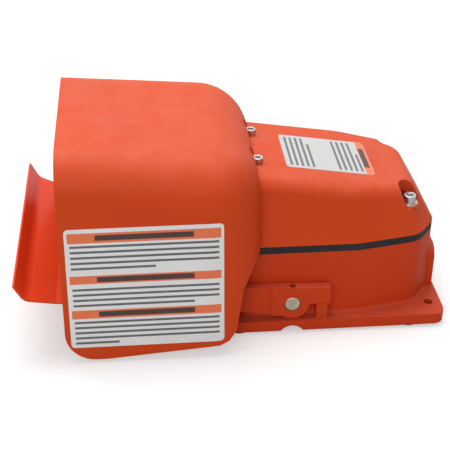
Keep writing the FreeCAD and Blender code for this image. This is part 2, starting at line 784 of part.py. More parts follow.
def treadle():
    """Treadle casting: two side arms with bosses and tails, a cross web and a ribbed deck."""
    body = new_body("treadle")
    for side, sign in (("near", 1), ("far", -1)):
        arm = new_sketch(body, "XZ", f"arm_{side}", f"{sign} * arm_inner")
        polygon(arm, [("-web_rear", "arm_low_web"), ("-boss_front", "arm_low_rear"),
                      ("-boss_front + 2", "arm_low_rear"),
                      ("-boss_front + 2", "arm_top + (boss_front - 2) * tan(arm_rise)"),
                      ("-nose_reach", "nose_top"), ("-nose_reach", "nose_top - nose_depth")])
        pad(body, arm, "arm_width - arm_step", reverse=sign < 0)
        block = new_sketch(body, "XZ", f"block_{side}", f"{sign} * arm_inner")
        polygon(block, [("-boss_front", "block_low"), ("block_heel", "block_low"),
                        ("block_slope", "tail_bottom"), ("tail_reach", "tail_bottom"),
                        ("tail_reach", "arm_top - tail_reach * tan(arm_rise)"),
                        ("-boss_front", "arm_top + boss_front * tan(arm_rise)")])
        pad(body, block, "arm_width", reverse=sign < 0)
        boss = new_sketch(body, "XZ", f"boss_{side}", f"{sign} * arm_inner")
        circle(boss, "0", "pivot_height", "boss_radius")
        pad(body, boss, "arm_width", reverse=sign < 0)
    web = new_sketch(body, "XZ", "web")
    polygon(web, [("-web_front", "web_low"), ("-web_rear", "web_low"),
                  ("-web_rear", "arm_top + web_rear * tan(arm_rise)"),
                  ("-nose_reach", "nose_top"), ("-nose_reach", "nose_top - deck_thick"),
                  ("-web_front", "arm_top + web_rear * tan(arm_rise) - deck_thick")])
    pad(body, web, "2 * arm_inner + 2", both=True)
    bore = new_sketch(body, "XZ", "bore")
    circle(bore, "0", "pivot_height", "shaft_radius + slide_gap")
    pocket(body, bore, "4 * flange_half", both=True)
    screw = new_sketch(body, "XY", "screw_holes", "arm_top + cut_over")
    for x, y in both_sides([("0", "arm_inner + arm_width / 2")]):
        circle(screw, x, y, "set_screw_radius + hole_gap")
    pocket(body, screw, "arm_top + cut_over - pivot_height")
    rivet = new_sketch(body, "XY", "rivet_holes", "nose_top + 2")
    for x, y in RIVETS:
        circle(rivet, x, y, "rivet_radius + hole_gap")
    pocket(body, rivet, "nose_top")
    return body


def plate_line(x):
    """Height of the deck's top at a distance ahead of the pivot."""
    return f"(arm_top + ({x}) * tan(arm_rise))"


def foot_plate():
    """Formed steel sheet on the treadle, with an upturned lip outside the mouth."""
    body = new_body("foot_plate")
    profile = new_sketch(body, "XZ", "profile")
    polygon(profile, [("-plate_rear", plate_line("plate_rear")), ("-bend_reach", plate_line("bend_reach")),
                      ("-toe_reach", "toe_height"), ("-lip_reach", "lip_height"),
                      ("-lip_reach + sheet", "lip_height + lip_turn"),
                      ("-toe_reach + toe_shift", "toe_height + toe_rise"),
                      ("-bend_reach + bend_shift", plate_line("bend_reach") + " + sheet"),
                      ("-plate_rear", plate_line("plate_rear") + " + sheet")])
    solid = pad(body, profile, "2 * lip_half", both=True)
    bends = ((size("toe_reach"), size("toe_height"), "toe_radius + sheet"),
             (size("toe_reach") - size("toe_shift"), size("toe_height") + size("toe_rise"), "toe_radius"))
    for reach, level, radius in bends:
        solid = fillet(body, solid, lambda e: abs(middle(e).x + reach) < 0.1
                       and abs(middle(e).z - level) < 0.1, radius)
    for side, sign in (("near", "-"), ("far", "")):
        trim = new_sketch(body, "XY", "trim_" + side, "lip_height + cut_over")
        polygon(trim, [("-plate_rear + cut_over", f"{sign}plate_half"), ("-bend_reach", f"{sign}plate_half"),
                       ("-lip_reach - cut_over", f"{sign}lip_half"),
                       ("-lip_reach - cut_over", f"{sign}(lip_half + cut_over)"),
                       ("-plate_rear + cut_over", f"{sign}(lip_half + cut_over)")])
        pocket(body, trim)
    holes = new_sketch(body, "XY", "rivet_holes", "lip_height")
    for x, y in RIVETS:
        circle(holes, x, y, "rivet_radius + hole_gap")
    pocket(body, holes)
    return body


def plate_rivets():
    """Four rivets that hold the foot plate on the deck."""
    body = new_body("plate_rivets")
    for index, (x, y) in enumerate(RIVETS):
        top = f"({plate_line(x[1:])} + sheet + seat_gap)"
        shank = new_sketch(body, "XY", f"shank_{index}", top)
        circle(shank, x, y, "rivet_radius")
        pad(body, shank, "sheet + deck_thick + seat_gap", reverse=True)
        head = new_sketch(body, "XY", f"head_{index}", top)
        circle(head, x, y, "rivet_head_radius")
        pad(body, head, "rivet_head_height")
    return body


def shaft_set_screws():
    """Set screws down through the arm bosses onto the shaft."""
    body = new_body("shaft_set_screws")
    plan = new_sketch(body, "XY", "plan", "pivot_height + shaft_radius + running_gap")
    for x, y in both_sides([("0", "arm_inner + arm_width / 2")]):
        circle(plan, x, y, "set_screw_radius")
    pad(body, plan, "set_screw_length")
    return body


def actuator_lever():
    """Bell crank clamped on the shaft: one arm lifts the switch plunger, one presses the spring."""
    body = new_body("actuator_lever")
    low = "-lever_low_side"
    hub = new_sketch(body, "XZ", "hub", low)
    circle(hub, "0", "pivot_height", "hub_radius")
    pad(body, hub, "2 * lever_half", reverse=True)
    arm = new_sketch(body, "XZ", "arm", low)
    polygon(arm, rectangle("hub_inside", "lever_reach", "lever_top - lever_thick", "lever_top"))
    pad(body, arm, "2 * lever_half", reverse=True)
    crank = new_sketch(body, "XZ", "crank", low)
    spring_arm_top = "spring_arm_low + spring_arm_thick"
    spring_arm_tip = "-spring_reach - spring_pad"
    polygon(crank, [("-hub_inside", "pivot_height"), ("hub_inside", "pivot_height"),
                    ("hub_inside", spring_arm_top), (spring_arm_tip, spring_arm_top),
                    (spring_arm_tip, "spring_arm_low"), ("-hub_inside", "spring_arm_low")])
    pad(body, crank, "2 * lever_half", reverse=True)
    bore = new_sketch(body, "XZ", "bore")
    circle(bore, "0", "pivot_height", "shaft_radius + slide_gap")
    pocket(body, bore, "4 * flange_half", both=True)
    seat = new_sketch(body, "XY", "spring_seat", "spring_arm_low")
    circle(seat, "-spring_reach", "lever_centre", "spring_coil - spring_wire - spring_slack")
    pad(body, seat, "spring_seat_depth", reverse=True)
    tapped = new_sketch(body, "XY", "screw_hole", "pivot_height")
    circle(tapped, "0", "lever_centre", "set_screw_radius + hole_gap")
    pocket(body, tapped, "hub_radius + 1")
    return body


def lever_set_screw():
    """Set screw up through the hub of the lever onto the shaft."""
    body = new_body("lever_set_screw")
    plan = new_sketch(body, "XY", "plan", "pivot_height - hub_radius")
    circle(plan, "0", "lever_centre", "set_screw_radius")
    pad(body, plan, "hub_radius - shaft_radius - running_gap")
    return body


def return_spring():
    """Compression spring that lifts the treadle."""
    turns = size("spring_turns")
    wire = size("spring_wire")
    low = size("box_floor") + wire
    high = size("spring_arm_low") - wire - size("hole_gap")
    pitch = (high - low) / turns
    helix = Part.makeHelix(pitch, high - low, size("spring_coil"))
    helix.translate(FreeCAD.Vector(0, 0, low))
    start = helix.Edges[0].valueAt(helix.Edges[0].FirstParameter)
    tangent = helix.Edges[0].tangentAt(helix.Edges[0].FirstParameter)
    section = Part.Wire(Part.makeCircle(wire, start, tangent))
    coil = Part.Wire(helix.Edges).makePipeShell([section], True, True)
    feature = doc.addObject("Part::Feature", "Spring")
    feature.Label = "return_spring"
    feature.Shape = coil
    bind(feature, "Placement.Base.x", "origin_shift - spring_reach")
    bind(feature, "Placement.Base.y", "lever_centre")
    return feature


def switch_case():
    """Moulded case of the snap-action switch, hung with its plunger down."""
    body = new_body("switch_case")
    side = new_sketch(body, "XZ", "side", "-(lever_centre + case_width / 2)")
    polygon(side, rectangle("case_front", "case_front + case_length", "case_low", "case_high"))
    pad(body, side, "case_width")
    holes = new_sketch(body, "XZ", "holes")
    for x in CASE_HOLES:
        circle(holes, x, "case_low + case_hole_height", "case_hole_radius")
    pocket(body, holes, "4 * case_width", both=True)
    guide = new_sketch(body, "XY", "guide", "case_low")
    circle(guide, "plunger_reach", "lever_centre", "plunger_radius + plunger_gap")
    pocket(body, guide, "plunger_hold + plunger_travel + plunger_spare", reverse=True)
    return body


def switch_plunger():
    """Plunger that the lever lifts."""
    body = new_body("switch_plunger")
    plan = new_sketch(body, "XY", "plan", "lever_top + seat_gap")
    circle(plan, "plunger_reach", "lever_centre", "plunger_radius")
    pad(body, plan, "case_low - lever_top - seat_gap + plunger_hold")
    return body


def switch_bracket():
    """Bent steel bracket: a foot on the floor of the base and a web that carries the switch."""
    body = new_body("switch_bracket")
    web = new_sketch(body, "XZ", "web", "-(lever_centre + case_width / 2 + web_thick)")
    polygon(web, rectangle("bracket_front", "bracket_back", "box_floor", "case_high"))
    pad(body, web, "web_thick")
    foot = new_sketch(body, "XY", "foot", "box_floor")
    polygon(foot, rectangle("bracket_front", "bracket_back", "lever_centre + case_width / 2",
                            "lever_centre + case_width / 2 + bracket_foot"))
    pad(body, foot, "web_thick")
    holes = new_sketch(body, "XZ", "holes")
    for x in CASE_HOLES:
        circle(holes, x, "case_low + case_hole_height", "case_hole_radius")
    pocket(body, holes, "4 * case_width", both=True)
    floor_holes = new_sketch(body, "XY", "floor_holes", "box_floor + web_thick")
    for x, y in BRACKET_SCREWS:
        circle(floor_holes, x, y, "bracket_hole_radius")
    pocket(body, floor_holes, "web_thick")
    return body


def pan_screws(label, places, seat, head_radius, head_height, shank_length):
    """Pan head screws seated on a thin plate, with only the head and a short shank modelled."""
    body = new_body(label)
    head = new_sketch(body, "XY", "head", seat)
    shank = new_sketch(body, "XY", "shank", seat)
    for x, y in places:
        circle(head, x, y, head_radius)
        circle(shank, x, y, "pan_shank_radius")
    pad(body, head, head_height)
    pad(body, shank, shank_length, reverse=True)
    return body


def switch_screws():
    """Two screws with nuts through the switch and the web."""
    body = new_body("switch_screws")
    near = "lever_centre - case_width / 2"
    far = "lever_centre + case_width / 2 + web_thick"
    shank = new_sketch(body, "XZ", "shank", f"-({near})")
    head = new_sketch(body, "XZ", "head", f"-({near})")
    nut = new_sketch(body, "XZ", "nut", f"-({far})")
    for x in CASE_HOLES:
        circle(shank, x, "case_low + case_hole_height", "case_hole_radius - hole_gap")
        circle(head, x, "case_low + case_hole_height", "switch_head_radius")
        circle(nut, x, "case_low + case_hole_height", "switch_nut_radius")
    pad(body, shank, f"({far}) - ({near}) + switch_nut_height", reverse=True)
    pad(body, head, "switch_head_height")
    pad(body, nut, "switch_nut_height", reverse=True)
    return body


def switch_terminals():
    """Three brass screw terminals on the back of the switch."""
    body = new_body("switch_terminals")
    plate = new_sketch(body, "XY", "plates", "case_high")
    head = new_sketch(body, "XY", "heads", "case_high + terminal_thick")
    for step in range(3):
        x = f"case_front + terminal_first + {step} * terminal_pitch"
        polygon(plate, rectangle(f"{x} - terminal_half", f"{x} + terminal_half",
                                 "lever_centre - terminal_half_width", "lever_centre + terminal_half_width"))
        circle(head, x, "lever_centre", "terminal_head_radius")
    pad(body, plate, "terminal_thick")
    pad(body, head, "terminal_head_height")
    return body


PIECES = [
    base_housing, hood_cover, cover_gasket, rubber_feet, pivot_bushes, shaft_seals, pivot_shaft, treadle,
    foot_plate, plate_rivets, shaft_set_screws, actuator_lever, lever_set_screw, return_spring, switch_case,
    switch_plunger, switch_bracket, switch_screws, switch_terminals,
]
pieces = [build() for build in PIECES]
pieces.append(washers("rear_screw_washers", REAR_SCREWS, "rear_screw_seat", "rear_washer_radius",
                      "rear_hole_radius", "rear_washer_thick"))
pieces.append(screws("rear_cover_screws", "rear", REAR_SCREWS, "(rear_screw_seat + rear_washer_thick)"))
pieces.append(screws("front_cover_screws", "front", COVER_SCREWS, "front_screw_seat"))
pieces.append(pan_screws("bracket_screws", BRACKET_SCREWS, "(box_floor + web_thick)", "pan_head_radius",
                         "pan_head_height", "web_thick"))
pieces.append(washers("ground_lug", GROUND, "box_floor", "lug_radius", "bracket_hole_radius", "lug_thick"))
pieces.append(pan_screws("ground_screw", GROUND, "(box_floor + lug_thick)", "ground_head_radius",
                         "ground_head_height", "lug_thick"))
doc.recompute()


def check():
    """Stop on any object that failed, or any piece without a sound solid."""
    failed = [thing.Name for thing in doc.Objects if "Invalid" in thing.State or "Error" in thing.State]
    hollow = [piece.Label for piece in pieces
              if piece.Shape.isNull() or not piece.Shape.isValid() or not piece.Shape.Solids]
    if failed or hollow:
        raise RuntimeError(f"failed objects {failed}, unsound pieces {hollow}")


check()
os.makedirs("parts", exist_ok=True)
for piece in pieces:
    piece.Shape.exportStep(f"parts/{piece.Label}.step")
    print(piece.Label, len(piece.Shape.Solids), round(piece.Shape.Volume))
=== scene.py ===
"""Visual model of a guarded industrial foot switch. Metres, +X to the rear, +Y across, +Z up."""
import logging
import math
from dataclasses import dataclass, field
from enum import Enum
from typing import Callable

import bmesh
import bpy
from mathutils import Matrix, Vector
from mathutils.bvhtree import BVHTree


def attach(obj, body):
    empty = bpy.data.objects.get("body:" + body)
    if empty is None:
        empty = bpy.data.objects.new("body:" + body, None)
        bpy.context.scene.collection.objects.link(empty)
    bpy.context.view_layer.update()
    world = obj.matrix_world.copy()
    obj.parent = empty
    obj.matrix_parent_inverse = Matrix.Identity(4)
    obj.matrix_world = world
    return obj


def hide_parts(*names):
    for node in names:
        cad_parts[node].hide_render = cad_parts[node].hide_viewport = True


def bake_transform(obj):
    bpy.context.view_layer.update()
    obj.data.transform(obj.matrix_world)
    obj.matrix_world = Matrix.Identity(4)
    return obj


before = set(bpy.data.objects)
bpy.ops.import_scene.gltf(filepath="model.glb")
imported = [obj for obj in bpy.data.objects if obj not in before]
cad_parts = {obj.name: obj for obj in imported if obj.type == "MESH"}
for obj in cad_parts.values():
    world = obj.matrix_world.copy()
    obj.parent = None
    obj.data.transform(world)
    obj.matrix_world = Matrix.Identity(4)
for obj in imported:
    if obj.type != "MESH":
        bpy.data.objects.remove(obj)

LOG = logging.getLogger("foot_switch")
MM = 0.001
PIVOT = 0.0425  # distance from the middle of the footprint back to the shaft
MERGE = 2e-6  # vertices nearer than this are one
FLAT = math.radians(0.4)  # faces that bend less than this are one
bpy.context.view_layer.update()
Colour = tuple[float, float, float]


class Body(Enum):
    """The bodies of the frame that pieces ride on."""

    HOUSING = "housing"
    TREADLE = "treadle_arm"
    PLUNGER = "plunger"


# --------------------------------------------------------------------------- node tree helpers


class Graph:
    """Adds nodes to one node tree and links them."""

    def __init__(self, tree: bpy.types.NodeTree) -> None:
        """Keep the tree."""
        self.tree = tree

    def add(self, kind: str, inputs: dict | None = None, **settings: object) -> bpy.types.Node:
        """Add a node.

        Args:
            kind: The node's type.
            inputs: Value or output socket for each input, by its name or its number.
            settings: The node's own properties.

        Returns:
            The new node.
        """
        node = self.tree.nodes.new(kind)
        for name, value in settings.items():
            setattr(node, name, value)
        for name, value in (inputs or {}).items():
            self.feed(node.inputs[name], value)
        return node

    def feed(self, socket: bpy.types.NodeSocket, value: object) -> None:
        """Link an output to a socket, or set the socket's number."""
        if isinstance(value, bpy.types.NodeSocket):
            self.tree.links.new(value, socket)
        else:
            socket.default_value = value

    def math(self, operation: str, *values: object) -> bpy.types.NodeSocket:
        """One step of arithmetic on numbers or sockets."""
        return self.add("ShaderNodeMath", dict(enumerate(values)), operation=operation).outputs[0]

    def noise(self, vector: object, scale: object, detail: float = 2.0) -> bpy.types.NodeSocket:
        """Smooth noise between 0 and 1."""
        inputs = {"Vector": vector, "Scale": scale, "Detail": detail}
        return self.add("ShaderNodeTexNoise", inputs).outputs["Fac"]

    def spread(self, value: object, low: float, high: float, start: float = 0.0, end: float = 1.0
               ) -> bpy.types.NodeSocket:
        """Carry the range low to high over to start to end, and clamp it there."""
        inputs = {0: value, 1: low, 2: high, 3: start, 4: end}
        return self.add("ShaderNodeMapRange", inputs).outputs[0]

    def blend(self, share: object, first: object, second: object) -> bpy.types.NodeSocket:
        """Mix two colours."""
        inputs = {0: share, 6: first, 7: second}
        return self.add("ShaderNodeMix", inputs, data_type="RGBA").outputs[2]

    def tint(self, tone: object, first: Colour, second: Colour) -> bpy.types.NodeSocket:
        """Mix two plain colours."""
        return self.blend(tone, (*first, 1.0), (*second, 1.0))


def shader_group(name: str, inputs: dict[str, float], outputs: list[str]
                 ) -> tuple[Graph, dict, bpy.types.Node]:
    """Start a shader node group of plain numbers.

    Args:
        name: The group's name.
        inputs: Default for each input.
        outputs: Names of the outputs.

    Returns:
        The graph, its input sockets by name, and its output node.
    """
    tree = bpy.data.node_groups.new(name, "ShaderNodeTree")
    for label, value in inputs.items():
        socket = tree.interface.new_socket(name=label, in_out="INPUT", socket_type="NodeSocketFloat")
        socket.default_value = value
    for label in outputs:
        tree.interface.new_socket(name=label, in_out="OUTPUT", socket_type="NodeSocketFloat")
    graph = Graph(tree)
    entry = graph.add("NodeGroupInput")
    return graph, {label: entry.outputs[label] for label in inputs}, graph.add("NodeGroupOutput")


def cast_grain_group() -> bpy.types.NodeTree:
    """Orange peel and sand cast unevenness under enamel.

    Returns:
        A group with a height and a slow tone.
    """
    graph, given, leave = shader_group(
        "cast_grain", {"Peel": 900.0, "Lump": 90.0, "Lump Share": 0.5, "Patch": 14.0}, ["Height", "Tone"])
    place = graph.add("ShaderNodeTexCoord").outputs["Object"]
    peel = graph.noise(place, given["Peel"], 2.0)
    lump = graph.noise(place, given["Lump"], 3.0)
    fine = graph.math("MULTIPLY", peel, graph.math("SUBTRACT", 1.0, given["Lump Share"]))
    coarse = graph.math("MULTIPLY", lump, given["Lump Share"])
    graph.feed(leave.inputs["Height"], graph.math("ADD", fine, coarse))
    graph.feed(leave.inputs["Tone"], graph.spread(graph.noise(place, given["Patch"], 3.0), 0.32, 0.68))
    return graph.tree


def turned_metal_group() -> bpy.types.NodeTree:
    """Fine tool marks that run across the shaft or along a plate.

    Returns:
        A group with a height and a tone.
    """
    graph, given, leave = shader_group("turned_metal", {"Lines": 2500.0, "Along": 0.06}, ["Height", "Tone"])
    place = graph.add("ShaderNodeTexCoord").outputs["Object"]
    parts = graph.add("ShaderNodeSeparateXYZ", {0: place})
    slow = graph.math("MULTIPLY", parts.outputs[0], given["Along"])
    drawn = graph.add("ShaderNodeCombineXYZ", {0: slow, 1: parts.outputs[1], 2: parts.outputs[2]}).outputs[0]
    graph.feed(leave.inputs["Height"], graph.noise(drawn, given["Lines"], 2.0))
    graph.feed(leave.inputs["Tone"], graph.spread(graph.noise(place, 160.0, 3.0), 0.3, 0.7))
    return graph.tree


def dust_and_sheen_group() -> bpy.types.NodeTree:
    """Light dust on faces that look up, partly real dust and partly a painted sheen that lightens the tops as
    light from above would.

    Returns:
        A group with one mask.
    """
    graph, given, leave = shader_group("settled_dust", {"Amount": 0.1, "Patch": 60.0}, ["Dust"])
    place = graph.add("ShaderNodeTexCoord").outputs["Object"]
    facing = graph.add("ShaderNodeSeparateXYZ", {0: graph.add("ShaderNodeNewGeometry").outputs["Normal"]})
    # Upward faces get the mask: settled dust, and a painted sheen standing in for light from above.
    upward = graph.spread(facing.outputs[2], 0.3, 1.0)
    patches = graph.spread(graph.noise(place, given["Patch"], 4.0), 0.0, 0.9)
    dust_and_sheen_mask = graph.math("MULTIPLY", upward, patches)
    graph.feed(leave.inputs["Dust"], graph.math("MULTIPLY", dust_and_sheen_mask, given["Amount"]))
    return graph.tree


@dataclass
class Effects:
    """The shader groups that several finishes share."""

    grain: bpy.types.NodeTree = field(default_factory=cast_grain_group)
    turned: bpy.types.NodeTree = field(default_factory=turned_metal_group)
    dust: bpy.types.NodeTree = field(default_factory=dust_and_sheen_group)


EFFECTS = Effects()


def use(graph: Graph, group: bpy.types.NodeTree, values: dict[str, float]) -> bpy.types.Node:
    """Place a shader group in a material with its own values."""
    node = graph.add("ShaderNodeGroup", node_tree=group)
    for name, value in values.items():
        node.inputs[name].default_value = value
    return node


def start_material(name: str) -> tuple[bpy.types.Material, Graph, bpy.types.Node]:
    """A new material with its Principled BSDF.

    Args:
        name: The material's name.

    Returns:
        The material, its graph and the shader node.
    """
    material = bpy.data.materials.new(name)
    material.use_nodes = True
    graph = Graph(material.node_tree)
    return material, graph, material.node_tree.nodes["Principled BSDF"]


def bump(graph: Graph, height: bpy.types.NodeSocket, depth: float) -> bpy.types.NodeSocket:
    """A normal raised by a height, with its depth in metres."""
    inputs = {"Height": height, "Distance": depth, "Strength": 1.0}
    return graph.add("ShaderNodeBump", inputs).outputs["Normal"]


# --------------------------------------------------------------------------- finishes


@dataclass(frozen=True)
class Enamel:
    """Orange enamel over a casting or a sheet."""

    name: str
    colour: Colour
    shade: Colour
    roughness: tuple[float, float] = (0.42, 0.50)
    coat: float = 0.0
    specular: float = 0.10
    peel: float = 900.0
    lump: float = 90.0
    lump_share: float = 0.6
    depth: float = 0.00022
    # Pale tint on upward faces: real settled dust, and also a painted sheen that lightens the tops.
    dust: float = 0.11
    dust_and_sheen_colour: Colour = (0.75, 0.55, 0.45)
    coat_roughness: float = 0.22

    def build(self) -> bpy.types.Material:
        """Make the material."""
        material, graph, shader = start_material(self.name)
        grain = use(graph, EFFECTS.grain, {
            "Peel": self.peel, "Lump": self.lump, "Lump Share": self.lump_share})
        # Blends the pale tint onto upward faces: dust, and a painted sheen on the tops.
        dust = use(graph, EFFECTS.dust, {"Amount": self.dust})
        paint = graph.tint(grain.outputs["Tone"], self.shade, self.colour)
        paint = graph.blend(dust.outputs["Dust"], paint, (*self.dust_and_sheen_colour, 1.0))
        graph.feed(shader.inputs["Base Color"], paint)
        graph.feed(shader.inputs["Roughness"], graph.spread(grain.outputs["Tone"], 0.0, 1.0, *self.roughness))
        graph.feed(shader.inputs["Normal"], bump(graph, grain.outputs["Height"], self.depth))
        shader.inputs["Coat Weight"].default_value = self.coat
        shader.inputs["Coat Roughness"].default_value = self.coat_roughness
        shader.inputs["Specular IOR Level"].default_value = self.specular
        return material


@dataclass(frozen=True)
class Rubber:
    """Matt black rubber with a fine skin."""

    name: str
    colour: Colour = (0.010, 0.010, 0.010)
    bloom: Colour = (0.024, 0.022, 0.021)
    roughness: tuple[float, float] = (0.62, 0.80)
    specular: float = 0.3
    depth: float = 0.0001

    def build(self) -> bpy.types.Material:
        """Make the material."""
        material, graph, shader = start_material(self.name)
        grain = use(graph, EFFECTS.grain, {"Peel": 2200.0, "Lump": 260.0, "Lump Share": 0.3, "Patch": 40.0})
        graph.feed(shader.inputs["Base Color"], graph.tint(grain.outputs["Tone"], self.colour, self.bloom))
        graph.feed(shader.inputs["Roughness"], graph.spread(grain.outputs["Tone"], 0.0, 1.0, *self.roughness))
        graph.feed(shader.inputs["Normal"], bump(graph, grain.outputs["Height"], self.depth))
        shader.inputs["Specular IOR Level"].default_value = self.specular
        return material


@dataclass(frozen=True)
class Metal:
    """Turned, drawn or plated metal."""

    name: str
    colour: Colour
    tarnish: Colour
    roughness: tuple[float, float] = (0.28, 0.42)
    lines: float = 2500.0
    along: float = 0.06
    depth: float = 0.00003

    def build(self) -> bpy.types.Material:
        """Make the material."""
        material, graph, shader = start_material(self.name)
        marks = use(graph, EFFECTS.turned, {"Lines": self.lines, "Along": self.along})
        graph.feed(shader.inputs["Base Color"], graph.tint(marks.outputs["Tone"], self.colour, self.tarnish))
        graph.feed(shader.inputs["Roughness"], graph.spread(marks.outputs["Tone"], 0.0, 1.0, *self.roughness))
        graph.feed(shader.inputs["Normal"], bump(graph, marks.outputs["Height"], self.depth))
        shader.inputs["Metallic"].default_value = 1.0
        return material


@dataclass(frozen=True)
class Moulding:
    """Moulded plastic with a fine matt texture."""

    name: str
    colour: Colour
    roughness: float = 0.45
    shade: float = 0.8
    depth: float = 0.00004

    def build(self) -> bpy.types.Material:
        """Make the material."""
        material, graph, shader = start_material(self.name)
        grain = use(graph, EFFECTS.grain, {"Peel": 3000.0, "Lump": 400.0, "Lump Share": 0.2, "Patch": 90.0})
        dark = tuple(self.shade * part for part in self.colour)
        graph.feed(shader.inputs["Base Color"], graph.tint(grain.outputs["Tone"], dark, self.colour))
        graph.feed(shader.inputs["Normal"], bump(graph, grain.outputs["Height"], self.depth))
        shader.inputs["Roughness"].default_value = self.roughness
        return material


@dataclass(frozen=True)
class Vinyl:
    """White vinyl sticker with plain orange bands, which its own UV map places."""

    name: str
    bands: tuple[tuple[float, float, float, float], ...]
    white: Colour = (0.80, 0.80, 0.79)
    band: Colour = (0.80, 0.17, 0.06)
    ageing: float = 0.95
    roughness: float = 0.34
    depth: float = 0.00004

    def build(self) -> bpy.types.Material:
        """Make the material."""
        material, graph, shader = start_material(self.name)
        place = graph.add("ShaderNodeUVMap", uv_map="sticker").outputs[0]
        parts = graph.add("ShaderNodeSeparateXYZ", {0: place})
        mask: object = 0.0
        for low_u, high_u, low_v, high_v in self.bands:
            inside: object = 1.0
            for value, low, high in ((parts.outputs[0], low_u, high_u), (parts.outputs[1], low_v, high_v)):
                inside = graph.math("MULTIPLY", inside, graph.math("GREATER_THAN", value, low))
                inside = graph.math("MULTIPLY", inside, graph.math("LESS_THAN", value, high))
            mask = graph.math("MAXIMUM", mask, inside)
        grain = use(graph, EFFECTS.grain, {"Peel": 1500.0, "Lump": 200.0, "Lump Share": 0.5, "Patch": 30.0})
        aged = tuple(self.ageing * part for part in self.white)
        sheet = graph.tint(grain.outputs["Tone"], aged, self.white)
        graph.feed(shader.inputs["Base Color"], graph.blend(mask, sheet, (*self.band, 1.0)))
        graph.feed(shader.inputs["Normal"], bump(graph, grain.outputs["Height"], self.depth))
        shader.inputs["Roughness"].default_value = self.roughness
        return material


@dataclass(frozen=True)
class Ink:
    """Grey printed line."""

    name: str
    colour: Colour
    paler: float = 1.15
    lift: float = 0.004
    roughness: float = 0.4

    def build(self) -> bpy.types.Material:
        """Make the material."""
        material, graph, shader = start_material(self.name)
        grain = use(graph, EFFECTS.grain, {"Peel": 2600.0, "Patch": 200.0})
        pale = tuple(self.paler * part + self.lift for part in self.colour)
        graph.feed(shader.inputs["Base Color"], graph.tint(grain.outputs["Tone"], self.colour, pale))
        shader.inputs["Roughness"].default_value = self.roughness
        return material


SIDE_BANDS = ((0.018, 0.982, 0.885, 0.967), (0.018, 0.982, 0.548, 0.617), (0.018, 0.982, 0.252, 0.325))
TOP_BANDS = ((0.905, 0.995, 0.01, 0.99),)

Finish = Enamel | Rubber | Metal | Moulding | Vinyl | Ink
FINISHES: dict[str, Finish] = {item.name: item for item in (
    Enamel("base_paint", (0.60, 0.052, 0.010), (0.56, 0.047, 0.009)),
    Enamel("hood_paint", (0.65, 0.064, 0.011), (0.61, 0.059, 0.010)),
    Enamel("treadle_paint", (0.60, 0.052, 0.010), (0.56, 0.047, 0.009)),
    # Brighter red than the treadle paint: painted bounce light, standing in for light reflected inside the
    # hood onto the plate.
    Enamel("plate_paint", (0.78, 0.050, 0.007), (0.74, 0.046, 0.006), roughness=(0.26, 0.32),
           coat=0.15, lump_share=0.3, depth=0.00006, dust=0.04),
    Rubber("gasket_rubber"),
    Rubber("foot_rubber"),
    Rubber("seal_rubber"),
    Metal("bronze", (0.55, 0.35, 0.15), (0.36, 0.22, 0.10)),
    Metal("brass", (0.75, 0.55, 0.25), (0.55, 0.38, 0.16)),
    Metal("zinc_steel", (0.66, 0.62, 0.48), (0.48, 0.42, 0.28)),
    Metal("spring_steel", (0.55, 0.55, 0.56), (0.35, 0.34, 0.33)),
    Metal("black_steel", (0.06, 0.06, 0.06), (0.10, 0.09, 0.08), roughness=(0.40, 0.55)),
    Metal("stainless", (0.50, 0.50, 0.49), (0.58, 0.57, 0.55), roughness=(0.22, 0.34)),
    Moulding("green_screw", (0.05, 0.35, 0.12)),
    Moulding("switch_plastic", (0.04, 0.04, 0.045)),
    Moulding("plunger_plastic", (0.55, 0.08, 0.05), 0.35),
    Vinyl("side_vinyl", SIDE_BANDS),
    # The top sticker's white is darker than the side sticker's: painted shade that offsets the stronger
    # overhead light on the cover's top.
    Vinyl("top_vinyl", TOP_BANDS, (0.56, 0.56, 0.55)),
    Ink("grey_ink", (0.11, 0.11, 0.12)),
    Ink("dark_ink", (0.05, 0.025, 0.02)),
)}
_BUILT: dict[str, bpy.types.Material] = {}


def finish(name: str) -> bpy.types.Material:
    """The material of a finish, made once."""
    if name not in _BUILT:
        _BUILT[name] = FINISHES[name].build()
    return _BUILT[name]


# --------------------------------------------------------------------------- mesh helpers


def new_object(name: str, mesh: bpy.types.Mesh) -> bpy.types.Object:
    """An object at the origin with this mesh."""
    obj = bpy.data.objects.new(name, mesh)
    bpy.context.scene.collection.objects.link(obj)
    return obj


def plain_mesh(obj: bpy.types.Object) -> bpy.types.Object:
    """Keep what an object's modifiers give as its own mesh, and drop the modifiers."""
    graph = bpy.context.evaluated_depsgraph_get()
    graph.update()
    final = obj.evaluated_get(graph)
    mesh = bpy.data.meshes.new_from_object(final, preserve_all_data_layers=True, depsgraph=graph)
    obj.modifiers.clear()
    obj.data = mesh
    mesh.name = obj.name
    return obj


def dress(obj: bpy.types.Object, material: str, body: Body | None, *nodes: str) -> bpy.types.Object:
    """Give a piece its finish, its body and the CAD nodes that it stands for.

    Args:
        obj: The finished piece.
        material: Name of its finish.
        body: The body that it rides on, or None for a piece that bends between two.
        nodes: CAD nodes that it replaces.

    Returns:
        The same object.
    """
    obj.data.materials.clear()
    obj.data.materials.append(finish(material))
    if body:
        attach(obj, body.value)
    if nodes:
        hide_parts(*nodes)
    LOG.info("%s: %d faces on %s", obj.name, len(obj.data.polygons), body)
    return obj


